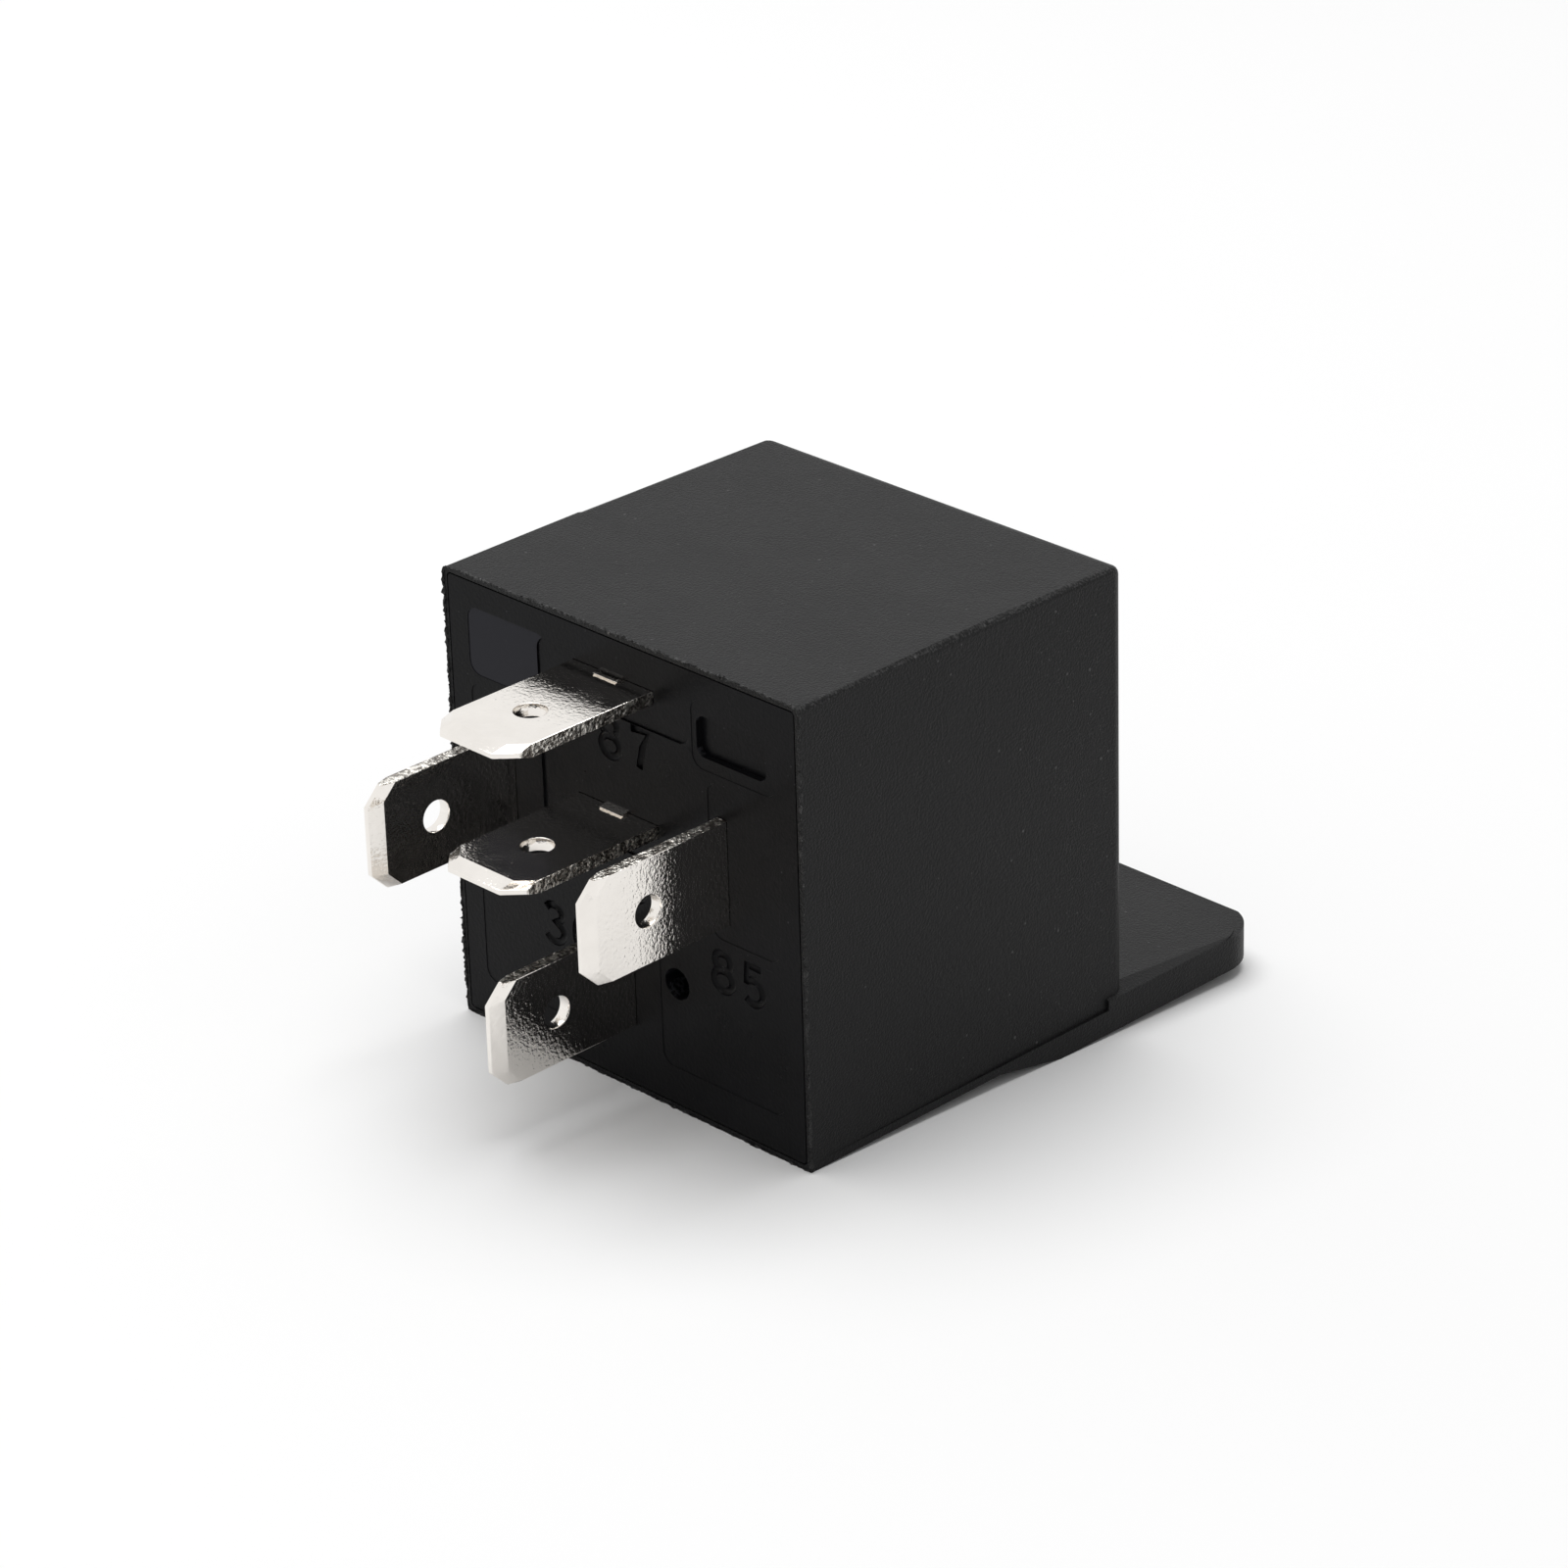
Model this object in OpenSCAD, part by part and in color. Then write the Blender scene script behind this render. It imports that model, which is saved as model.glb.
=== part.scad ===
// Change-over relay for vehicles, with five blade terminals and a bolt-on bracket.
// Frame: the origin lies on the outer face of the base, at mid-width, on the plane of the
// underside of the housing. X runs across the base, Y runs from the base into the housing
// and on through the bracket, and Z is up while the relay lies on its bracket side.
// The blades point to -Y. Every size is in millimetres.

/* [Housing] */
// Width of the cover across the base
house_w = 28; // [27:0.5:32]
// Thickness of the cover from the bracket side to the far side
house_t = 28; // [27.5:0.5:32]
// Height of the cover from its rim to its closed end
house_h = 25.2; // [25:0.2:32]
// Wall of the cover beside the coil
wall = 1.1; // [0.8:0.1:1.3]
// Wall of the cover at the closed end
end_wall = 1.2; // [0.8:0.1:1.3]
// Thin lip of the cover that surrounds the base
lip = 0.3; // [0.25:0.05:0.6]
// Draw-in of each side at the closed end
draft = 0.2; // [0.1:0.05:0.3]
// Rounding of the long edges
edge_r = 0.4; // [0.2:0.1:0.8]
// Rounding of the edges round the closed end
end_r = 1; // [0.5:0.1:1.5]

/* [Bracket] */
// Length of the bracket past the closed end
tab_len = 12.3; // [10:0.1:16]
// Thickness of the bracket's rim
tab_t = 2.1; // [1.6:0.1:3]
// Depth of the bracket's underside below the housing
tab_drop = 1; // [0.5:0.1:1.5]
// Height of the raised top of the bracket over its rim
pad_t = 0.4; // [0.2:0.1:0.8]
// Width of the sloping shoulder round the raised top
pad_slope = 0.9; // [0.5:0.1:1.5]
// Corner radius of the bracket's free end
tab_r = 3; // [1:0.5:5]
// Bore for the fixing bolt
bolt_d = 5.4; // [4.3:0.1:6.4]
// Distance of the bolt's axis from the closed end
bolt_reach = 6; // [5:0.1:7]
// Distance of the ramp's foot from the rim
ramp_from = 15; // [10:0.5:18]
// Run of the ramp along the underside
ramp_run = 5; // [3:0.5:7]
// Height of the straight skirt along the bottom of the sides
skirt = 0.5; // [0.3:0.1:1]

/* [Base] */
// Thickness of the base plate
base_t = 3; // [2.8:0.1:3.4]
// Gap round the base inside the lip
base_gap = 0.08; // [0.04:0.02:0.12]
// Depth of the shallow panels in the outer face
panel_depth = 0.15; // [0.05:0.05:0.3]
// Margin between the panels and the edge of the base
panel_margin = 1.5; // [1.3:0.05:1.8]
// Width of the upper panels
panel_w = 6.4; // [6:0.1:7]
// Height of the upper panels
panel_h = 4.1; // [3.5:0.1:4.5]
// Width of the lower panels
number_panel_w = 9.65; // [8:0.05:10]
// Height of the lower panels
number_panel_h = 8.8; // [8:0.1:9.2]
// Distance of the lower panels from the lower edge of the base
number_panel_up = 2.3; // [1.5:0.1:2.6]
// Corner radius of panels and pockets
panel_r = 0.8; // [0.3:0.1:1]
// Depth of the pockets round terminals 87 and 87a
pocket_depth = 0.5; // [0.3:0.1:0.8]
// Reach of those pockets past each side of the blade
pocket_reach = 2.85; // [1:0.05:3]
// Reach of those pockets past the faces of the blade
pocket_up = 1.6; // [1:0.1:2]
// Depth of the mark pocket in the upper right panel
mark_depth = 0.6; // [0.3:0.1:1]
// Width of the mark pocket
mark_w = 5.3; // [4:0.1:5.6]
// Height of the mark pocket
mark_h = 2.45; // [2:0.05:3]
// Diameter of the vent
vent_d = 1.9; // [1:0.1:2.2]
// Place of the vent across the base
vent_x = 3.8; // [3:0.1:6]
// Height of the vent
vent_z = 8; // [6:0.1:10]
// Height of the towers that steady the contact strips
tower_h = 5.5; // [3:0.5:8]
// Wall of the towers
tower_wall = 0.7; // [0.5:0.1:0.7]

/* [Terminals] */
// Width of a blade
blade_w = 6.3; // [5.8:0.1:6.5]
// Thickness of a blade
blade_t = 0.8; // [0.6:0.1:0.9]
// Length of a blade outside the base
blade_len = 10.6; // [9:0.1:13]
// Length of the slanted corners at the tip
tip_len = 1.1; // [0.8:0.1:2]
// Depth of the slanted corners at the tip
tip_in = 1.1; // [0.5:0.1:2]
// Length of the bevel along the tip
bevel_len = 1; // [0.4:0.1:1.4]
// Length of the bevel along the slanted corners
corner_bevel_len = 0.6; // [0.3:0.1:1]
// Depth of the bevels on each face
bevel_in = 0.25; // [0.1:0.01:0.27]
// Diameter of the latch hole in a blade
latch_d = 1.9; // [1.5:0.1:2.2]
// Distance of the latch hole from the base
latch_reach = 5.9; // [5:0.1:6.5]
// Distance of terminal 85 from its side of the cover
margin_85 = 6.2; // [6:0.1:6.4]
// Distance of terminal 86 from its side of the cover
margin_86 = 4.8; // [4.6:0.1:5.2]
// Place of terminals 87 and 87a across the base
pin_87_x = -0.5; // [-0.6:0.1:0.4]
// Place of terminal 30 across the base
pin_30_x = 0; // [-0.4:0.1:0.4]
// Distance from terminal 87 down to terminal 87a
pitch_87a = 8.1; // [7.9:0.05:8.3]
// Distance from terminal 87 down to terminals 85 and 86
pitch_coil = 8.7; // [8.4:0.05:9]
// Distance from terminal 87 down to terminal 30
pitch_30 = 17.65; // [17.4:0.05:18]
// Room between terminal 87's strip and the cover above it
strip_room = 1.3; // [1.1:0.1:1.6]
// Centre-line radius of the bends in the strips
bend_r = 0.9; // [0.7:0.1:1]
// Width of the lance that stops a blade in the base
lance_w = 1.8; // [1.4:0.1:2.4]
// Height of the lance over the blade
lance_h = 0.25; // [0.15:0.05:0.4]
// Length of the lance outside the base
lance_len = 0.4; // [0.2:0.1:1]

/* [Magnet] */
// Gap between the yoke and the bobbin beside it
coil_gap = 0.4; // [0.4:0.1:0.8]
// Gap between the bobbin and terminal 85
terminal_gap = 0.4; // [0.3:0.1:0.8]
// Thickness of a bobbin flange
flange_t = 0.8; // [0.6:0.1:1]
// Distance of the winding from the flanges' edges
winding_inset = 0.3; // [0.2:0.1:1]
// Diameter of the enamelled wire
wire_d = 0.45; // [0.3:0.05:0.6]
// Share of the winding's diameter that the core fills
core_share = 0.485; // [0.4:0.005:0.5]
// Diameter of the pole face
pole_d = 9; // [7.5:0.25:9.5]
// Thickness of the pole face
pole_t = 0.55; // [0.4:0.05:0.8]
// Wall of the bobbin's tube
tube_wall = 0.7; // [0.5:0.1:1]
// Thickness of the yoke
yoke_t = 1.4; // [1.2:0.1:1.5]
// Distance of the yoke's sides from the flanges' edges
yoke_in = 0.5; // [0.25:0.25:1.5]
// Air gap between the pole face and the resting armature
air_gap = 0.6; // [0.55:0.05:0.8]
// Thickness of the armature
armature_t = 1.4; // [1:0.1:1.6]
// Distance of the armature's sides from the yoke's sides
armature_in = 0.5; // [0:0.25:1]

/* [Contacts] */
// Thickness of the leaf spring
leaf_t = 0.25; // [0.15:0.05:0.3]
// Width of the leaf spring on the armature
leaf_w = 9; // [7:0.5:9.5]
// Gap between the leaf spring's end and terminal 87's strip
leaf_end_gap = 0.5; // [0.4:0.1:0.8]
// Gap between the bobbin and the arm of terminal 87
arm_gap = 1.2; // [1:0.1:1.6]
// Room between the resting contact and the closed end
end_room = 1.15; // [1:0.05:1.5]
// Room for the leaf spring between the yoke and the cover
spring_room = 1.9; // [1.8:0.1:2.2]
// Length of the leaf spring's foot along the yoke
leaf_foot_l = 8.5; // [8:0.1:9]
// Distance of the yoke's rivets from the end of that foot
foot_rivet_in = 2.7; // [2:0.1:3]
// Height of the armature's rivets over the yoke
rivet_up = 3.4; // [3:0.1:4]
// Diameter of the contact heads
contact_d = 3; // [2.4:0.1:3.2]
// Thickness of a contact head
contact_t = 0.8; // [0.6:0.05:0.9]
// Open gap of the working contact
contact_gap = 0.95; // [0.95:0.05:1.2]
// Diameter of the contact shanks
shank_d = 1.6; // [1.2:0.1:1.8]
// Width of the strip that carries the resting contact
riser_w = 4; // [3:0.25:4.25]
// Diameter of the rivets' heads
rivet_d = 2.2; // [1.8:0.1:2.6]
// Diameter of the rivets' shanks
rivet_shank_d = 1.2; // [0.8:0.1:1.4]
// Distance between the two rivets of a pair
rivet_pitch = 6; // [4:0.5:6]

/* [Hidden] */
$fn = 48;
// Gap between pieces that are pressed or laid together
seat_gap = 0.03;
// Gap between pieces that move past each other
run_gap = 0.05;
// Extra length of a cutting shape past the face that it opens
cut = 1;

// Housing
inner_x = house_w / 2 - draft - wall;
inner_bottom = wall + draft;
inner_top = house_t - wall - draft;
inner_end = house_h - end_wall;
lip_x = house_w / 2 - lip;
base_x = lip_x - base_gap;
base_bottom = lip + base_gap;
base_top = house_t - lip - base_gap;

// Bracket
tab_end = house_h + tab_len;
tab_top = tab_t - tab_drop;
bolt_y = house_h + bolt_reach;

// Terminals
pin_85_x = house_w / 2 - margin_85;
pin_86_x = margin_86 - house_w / 2;
pin_87_z = inner_top - strip_room - blade_t / 2;
pin_87a_z = pin_87_z - pitch_87a;
pin_coil_z = pin_87_z - pitch_coil;
pin_30_z = pin_87_z - pitch_30;
tail_t = 0.4;

// Contacts, seen from the base
leaf_end_r = contact_d / 2 + 0.4;
arm_reach = leaf_end_r + 0.1;
contact_z = pin_87_z - blade_t / 2 - leaf_end_gap - leaf_end_r;

// Magnet, seen from the base
yoke_z = inner_bottom + spring_room;
yoke_inner_z = yoke_z + yoke_t;
flange_z = yoke_inner_z + coil_gap;
flange_room_x = 2 * (pin_85_x - blade_t / 2 - terminal_gap);
flange_room_z = contact_z - arm_reach - arm_gap - flange_z;
flange_w = min(flange_room_x, flange_room_z);
coil_z = flange_z + flange_w / 2;
winding_d = flange_w - 2 * winding_inset;
core_d = winding_d * core_share;
yoke_w = flange_w - 2 * yoke_in;
armature_w = yoke_w - 2 * armature_in;
lug_w = armature_in + 0.9;
shank_core_d = core_d * 0.6;
yoke_leg_z = coil_z + shank_core_d / 2 + 2.2;

// Magnet and contacts stacked from the base to the closed end
nc_arm_y = inner_end - end_room - tail_t - blade_t;
nc_face_y = nc_arm_y - contact_t;
leaf_y = nc_face_y - seat_gap - contact_t - leaf_t;
armature_y = leaf_y - armature_t;
pole_y = armature_y - air_gap;
yoke_top = armature_y - run_gap;
flange_y = base_t + yoke_t;
winding_y = flange_y + flange_t;
winding_l = pole_y - pole_t - flange_t - winding_y;
no_face_y = leaf_y - contact_t - contact_gap;
no_arm_y = no_face_y - contact_t - blade_t;

// Armature, leaf spring and their rivets
armature_z = yoke_z + 0.2;
armature_end_z = contact_z - contact_d / 2 - 1.1;
leaf_bend_r = 2 * leaf_t;
leaf_hump = 2 * leaf_bend_r + 0.1;
leaf_foot_y = yoke_top - leaf_foot_l;
yoke_rivet_y = leaf_foot_y + foot_rivet_in;
armature_rivet_z = yoke_inner_z + rivet_up;

// Strips of the terminals inside the housing
foot_sink = 1.6;
foot_l = 5;
foot_w = 5;
foot_z = yoke_z - blade_t;
fork_y = winding_y + 2;
wire_y = winding_y + 0.8;
wire_z = coil_z + winding_d / 2 - 0.8;
link_y = base_t - 1.2;
link_z = pin_coil_z + blade_w / 2 + 0.45;
riser_x = pin_87_x + blade_w / 2 + 1.85;
riser_z = contact_z;

// Extrudes an outline drawn as (Y, Z) from x0 to x1
module along_x(x0, x1) {
    translate([x0, 0, 0])
        rotate([90, 0, 90])
            linear_extrude(x1 - x0) children();
}

// Extrudes an outline drawn as (X, Z) from y0 to y1
module along_y(y0, y1) {
    translate([0, y1, 0])
        rotate([90, 0, 0])
            linear_extrude(y1 - y0) children();
}

// Extrudes an outline drawn as (X, Y) from z0 to z1
module along_z(z0, z1) {
    translate([0, 0, z0])
        linear_extrude(z1 - z0) children();
}

// Rectangle between two corners
module box_2d(x0, x1, y0, y1) {
    translate([x0, y0])
        square([x1 - x0, y1 - y0]);
}

// Rectangle between two corners with rounded corners
module round_box_2d(x0, x1, y0, y1, r) {
    box_2d(x0 + r, x1 - r, y0, y1);
    box_2d(x0, x1, y0 + r, y1 - r);
    for (x = [x0 + r, x1 - r], y = [y0 + r, y1 - r])
        translate([x, y])
            circle(r);
}

// Solid between two corners
module box(x0, x1, y0, y1, z0, z1) {
    translate([x0, y0, z0])
        cube([x1 - x0, y1 - y0, z1 - z0]);
}

// Round bar along Y
module bar_y(d, y0, y1, x, z) {
    translate([x, y1, z])
        rotate([90, 0, 0])
            cylinder(d = d, h = y1 - y0);
}

// Cup-shaped outline: straight mouth at height 0, sides drawn in towards the end, and round
// corners that run tangent into the sides and the end
module drafted_2d(width, height, pull, r) {
    slant = atan(pull / height);
    centre_y = height - r;
    centre_x = width / 2 - pull * centre_y / height - r / cos(slant);
    touch = [centre_x + r * cos(slant), centre_y + r * sin(slant)];
    polygon([
        [-width / 2, 0], [width / 2, 0], touch, [centre_x, height],
        [-centre_x, height], [-touch.x, touch.y]
    ]);
    for (side = [-1, 1])
        translate([side * centre_x, centre_y])
            circle(r);
}

// Distance that a bend of radius r takes from both legs at the corner b
function bend_trim(a, b, c, r) =
    let (turn = acos(((b - a) * (c - b)) / (norm(b - a) * norm(c - b))))
    r * tan(turn / 2);

// Strip of thickness t along the points, bent to radius r at each corner between its ends
module strip_2d(points, t, r) {
    last = len(points) - 1;
    for (i = [0 : last - 1]) {
        from_trim = i == 0 ? 0 : bend_trim(points[i - 1], points[i], points[i + 1], r);
        to_trim = i == last - 1 ? 0 : bend_trim(points[i], points[i + 1], points[i + 2], r);
        leg = points[i + 1] - points[i];
        translate(points[i])
            rotate(atan2(leg.y, leg.x))
                translate([from_trim, -t / 2])
                    square([norm(leg) - from_trim - to_trim, t]);
    }
    for (i = [1 : last - 1])
        bend_2d(points[i - 1], points[i], points[i + 1], t, r);
}

// One bend of a strip: the ring sector that joins the legs a-b and b-c
module bend_2d(a, b, c, t, r) {
    trim = bend_trim(a, b, c, r);
    into = (b - a) / norm(b - a);
    out = (c - b) / norm(c - b);
    turn_side = sign(into.x * out.y - into.y * out.x);
    start = b - trim * into;
    end = b + trim * out;
    centre = start + turn_side * r * [-into.y, into.x];
    reach = (r + t) * 2;
    mid = (start + end) / 2 - centre;
    intersection() {
        translate(centre)
            difference() {
                circle(r + t / 2);
                circle(r - t / 2);
            }
        polygon([
            centre,
            centre + reach * (start - centre) / r,
            centre + reach * 1.5 * mid / norm(mid),
            centre + reach * (end - centre) / r
        ]);
    }
}

// Outer form of the housing: drafted on all four sides, with a straight skirt at the bottom
module housing_form() {
    intersection() {
        along_z(0, house_t)
            drafted_2d(house_w, house_h, draft, end_r);
        translate([0, 0, house_t / 2])
            rotate([0, -90, 0])
                translate([0, 0, -house_w / 2])
                    linear_extrude(house_w)
                        drafted_2d(house_t, house_h, draft, end_r);
        along_y(0, house_h)
            round_box_2d(-house_w / 2, house_w / 2, 0, house_t, edge_r);
    }
    along_z(0, skirt)
        drafted_2d(house_w, house_h, 0, end_r);
}

// Side view of the bracket: ramp, flat underside, round nose and rim
module bracket_2d() {
    nose_r = tab_t / 2.6;
    box_2d(house_h - end_wall, tab_end - nose_r, -tab_drop, tab_top);
    box_2d(tab_end - 2 * nose_r, tab_end, nose_r - tab_drop, tab_top - 0.25);
    box_2d(tab_end - 2 * nose_r, tab_end - 0.25, tab_top - 0.5, tab_top);
    translate([tab_end - nose_r, nose_r - tab_drop])
        circle(nose_r);
    translate([tab_end - 0.25, tab_top - 0.25])
        circle(0.25);
    polygon([
        [ramp_from, 0], [ramp_from + ramp_run, -tab_drop],
        [house_h, -tab_drop], [house_h, skirt], [ramp_from, skirt]
    ]);
}

// Bracket with its raised top, before the bolt hole is cut
module bracket_form() {
    intersection() {
        along_x(-house_w / 2, house_w / 2)
            bracket_2d();
        along_z(-tab_drop - cut, house_t)
            round_box_2d(-house_w / 2, house_w / 2, -tab_r, tab_end, tab_r);
    }
    intersection() {
        along_y(house_h - end_wall, tab_end - pad_slope)
            polygon([
                [-house_w / 2, tab_top - 0.1], [house_w / 2, tab_top - 0.1],
                [house_w / 2, tab_top], [house_w / 2 - pad_slope, tab_top + pad_t],
                [pad_slope - house_w / 2, tab_top + pad_t], [-house_w / 2, tab_top]
            ]);
        along_x(-house_w / 2, house_w / 2)
            polygon([
                [house_h - end_wall, tab_top - 0.1], [tab_end - pad_slope, tab_top - 0.1],
                [tab_end - pad_slope, tab_top], [house_h, tab_top + pad_t],
                [house_h - end_wall, tab_top + pad_t]
            ]);
        along_z(0, house_t)
            round_box_2d(-house_w / 2, house_w / 2, -tab_r, tab_end - pad_slope, tab_r);
    }
}

module cover() {
    color([0.09, 0.09, 0.1])
        difference() {
            union() {
                housing_form();
                bracket_form();
            }
            along_y(-cut, inner_end)
                round_box_2d(-inner_x, inner_x, inner_bottom, inner_top, 0.6);
            along_y(-cut, base_t)
                round_box_2d(-lip_x, lip_x, lip, house_t - lip, 0.3);
            translate([0, bolt_y, -tab_drop - cut])
                cylinder(d = bolt_d, h = tab_t + pad_t + 2 * cut);
        }
}

// Slot through the base for one blade; the flat side of the blade faces X or Z
module blade_slot(x, z, upright) {
    half_w = blade_w / 2 + seat_gap;
    half_t = blade_t / 2 + seat_gap;
    half_x = upright ? half_t : half_w;
    half_z = upright ? half_w : half_t;
    box(x - half_x, x + half_x, -cut, base_t + cut, z - half_z, z + half_z);
}

// Shallow panels, pockets and vent in the outer face of the base
module base_relief() {
    panel_x = base_x - panel_margin;
    panel_top = base_top - panel_margin;
    number_panel_z = base_bottom + number_panel_up;
    reach_x = blade_w / 2 + pocket_reach;
    reach_z = blade_t / 2 + pocket_up;
    mark_side = (panel_w - mark_w) / 3;
    mark_z = panel_top - panel_h + 2 * mark_side;
    for (side = [0, 1])
        mirror([side, 0, 0])
            along_y(-cut, panel_depth) {
                round_box_2d(panel_x - panel_w, panel_x, panel_top - panel_h, panel_top, panel_r);
                round_box_2d(panel_x - number_panel_w, panel_x,
                    number_panel_z, number_panel_z + number_panel_h, panel_r);
            }
    for (side = [[pin_85_x - 1, panel_x], [-panel_x, pin_86_x + 1]])
        along_y(-cut, panel_depth)
            round_box_2d(side[0], side[1],
                number_panel_z + number_panel_h + 0.6, panel_top - panel_h - 0.5, panel_r);
    along_y(-cut, pocket_depth) {
        round_box_2d(pin_87_x - reach_x, pin_87_x + reach_x,
            pin_87_z - reach_z, pin_87_z + blade_t + 0.2, panel_r);
        round_box_2d(pin_87_x - reach_x, pin_87_x + reach_x,
            pin_87a_z - reach_z, pin_87a_z + reach_z + 0.6, panel_r);
    }
    along_y(-cut, mark_depth)
        round_box_2d(panel_x - panel_w + mark_side, panel_x - 2 * mark_side,
            mark_z, mark_z + mark_h, panel_r * 0.7);
    bar_y(vent_d, -cut, base_t + cut, vent_x, vent_z);
}

module base() {
    color([0.12, 0.12, 0.13])
        difference() {
            union() {
                along_y(0, base_t)
                    round_box_2d(-base_x, base_x, base_bottom, base_top, 0.25);
                along_y(base_t, base_t + tower_h)
                    tower_2d(pin_87_x - blade_w / 2, pin_87_x + blade_w / 2, pin_87_z);
                along_y(base_t, base_t + tower_h)
                    tower_2d(riser_x, riser_x + riser_w, riser_z);
            }
            base_relief();
            blade_slot(pin_85_x, pin_coil_z, true);
            blade_slot(pin_86_x, pin_coil_z, true);
            blade_slot(pin_87_x, pin_87a_z, false);
            box(pin_87_x - blade_w / 2 - seat_gap, pin_87_x + blade_w / 2 + seat_gap,
                -cut, base_t + tower_h + cut,
                pin_87_z - blade_t / 2 - seat_gap, pin_87_z + blade_t / 2 + seat_gap);
            blade_slot(pin_30_x, pin_30_z, true);
            foot_slot();
            link_slot();
        }
}

// Outline of the tower round a strip that spans x0 to x1 at height z
module tower_2d(x0, x1, z) {
    side = blade_t / 2 + seat_gap + tower_wall;
    round_box_2d(x0 - tower_wall, x1 + tower_wall, z - side, z + side, 0.3);
}

// Room in the base for the welded foot of terminal 30
module foot_slot() {
    half_t = blade_t / 2 + seat_gap;
    low_y = base_t - foot_sink - seat_gap;
    box(pin_30_x - half_t, pin_30_x + half_t, low_y, base_t + cut, foot_z - seat_gap, pin_30_z);
    box(pin_30_x - half_t, pin_30_x + foot_w + seat_gap, low_y, base_t + cut,
        foot_z - seat_gap, foot_z + blade_t + seat_gap);
}

// Room in the base for the bend and the link of terminal 87a, and the slot for its riser
module link_slot() {
    half_t = blade_t / 2 + seat_gap;
    left = pin_87_x - blade_w / 2 - seat_gap;
    right = riser_x + riser_w + seat_gap;
    box(left, pin_87_x + blade_w / 2 + seat_gap, link_y - bend_r - seat_gap, base_t + cut,
        pin_87a_z - half_t, pin_87a_z + bend_r + seat_gap);
    box(left, pin_87_x + blade_w / 2 + seat_gap, link_y - half_t, base_t + cut,
        pin_87a_z, riser_z + half_t);
    box(pin_87_x, right, link_y - half_t, base_t + cut, link_z - seat_gap, riser_z + half_t);
    box(riser_x - seat_gap, right, link_y - half_t, base_t + tower_h + cut,
        riser_z - half_t, riser_z + half_t);
}

// Slab that ends at the line through p, turned by the angle turn from the X axis, with both
// faces bevelled towards that line over the length bevel
module bevelled_end(p, turn, bevel) {
    half = blade_t / 2;
    reach = 4 * blade_len;
    translate([p.x, p.y, 0])
        rotate(turn)
            along_x(-reach, reach)
                polygon([
                    [0, bevel_in - half], [bevel, -half], [reach, -half],
                    [reach, half], [bevel, half], [0, half - bevel_in]
                ]);
}

// Blade that lies flat in X and Y, centred on X, from its tip up to the height top in the base
module flat_blade(top) {
    half = blade_w / 2;
    slant = atan2(tip_len, tip_in);
    difference() {
        intersection() {
            box(-half, half, -blade_len, top, -blade_t, blade_t);
            bevelled_end([0, -blade_len], 0, bevel_len);
            bevelled_end([half, tip_len - blade_len], slant, corner_bevel_len);
            bevelled_end([-half, tip_len - blade_len], -slant, corner_bevel_len);
        }
        translate([0, -latch_reach, -blade_t])
            cylinder(d = latch_d, h = 2 * blade_t);
    }
}

// The same blade stood on edge, so that its faces look along X
module upright_blade(top) {
    rotate([0, 90, 0])
        flat_blade(top);
}

// Raised lance across a flat blade at height z; it stands partly in the pocket of the base
module lance(z) {
    face_z = z + blade_t / 2;
    box(pin_87_x - lance_w / 2, pin_87_x + lance_w / 2, -lance_len, pocket_depth - seat_gap,
        face_z - blade_t / 4, face_z + lance_h);
}

module terminal_30() {
    half = blade_t / 2;
    right = pin_30_x + foot_w;
    top = foot_z + blade_t;
    color([0.8, 0.8, 0.78]) {
        translate([pin_30_x, 0, pin_30_z])
            upright_blade(base_t);
        box(pin_30_x - half, pin_30_x + half, base_t - foot_sink, base_t, foot_z, pin_30_z);
        box(pin_30_x - half, right, base_t - foot_sink, base_t, foot_z, top);
        box(pin_30_x + half, right, base_t - foot_sink, base_t + foot_l, foot_z, top);
    }
}

// Coil terminal: a blade whose inner end is a fork that grips the wire
module coil_terminal(x) {
    half = blade_t / 2;
    color([0.8, 0.8, 0.78])
        difference() {
            union() {
                translate([x, 0, pin_coil_z])
                    upright_blade(base_t);
                box(x - half, x + half, base_t - 0.5, fork_y, wire_z - 1.3, wire_z + 1.3);
            }
            box(x - cut, x + cut, wire_y - wire_d / 2 - seat_gap, fork_y + cut,
                wire_z - wire_d / 2 - seat_gap, wire_z + wire_d / 2 + seat_gap);
        }
}

module terminal_85() {
    coil_terminal(pin_85_x);
}

module terminal_86() {
    coil_terminal(pin_86_x);
}

module terminal_87() {
    arm_z = contact_z - arm_reach;
    color([0.8, 0.8, 0.78])
        difference() {
            union() {
                translate([pin_87_x, 0, pin_87_z])
                    flat_blade(base_t);
                lance(pin_87_z);
                along_x(pin_87_x - blade_w / 2, pin_87_x + blade_w / 2)
                    strip_2d([
                        [base_t - 0.5, pin_87_z], [no_arm_y + blade_t / 2, pin_87_z],
                        [no_arm_y + blade_t / 2, arm_z]
                    ], blade_t, bend_r);
            }
            bar_y(shank_d + 2 * seat_gap, no_arm_y - cut, no_arm_y + blade_t + cut, pin_87_x, contact_z);
        }
}

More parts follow.
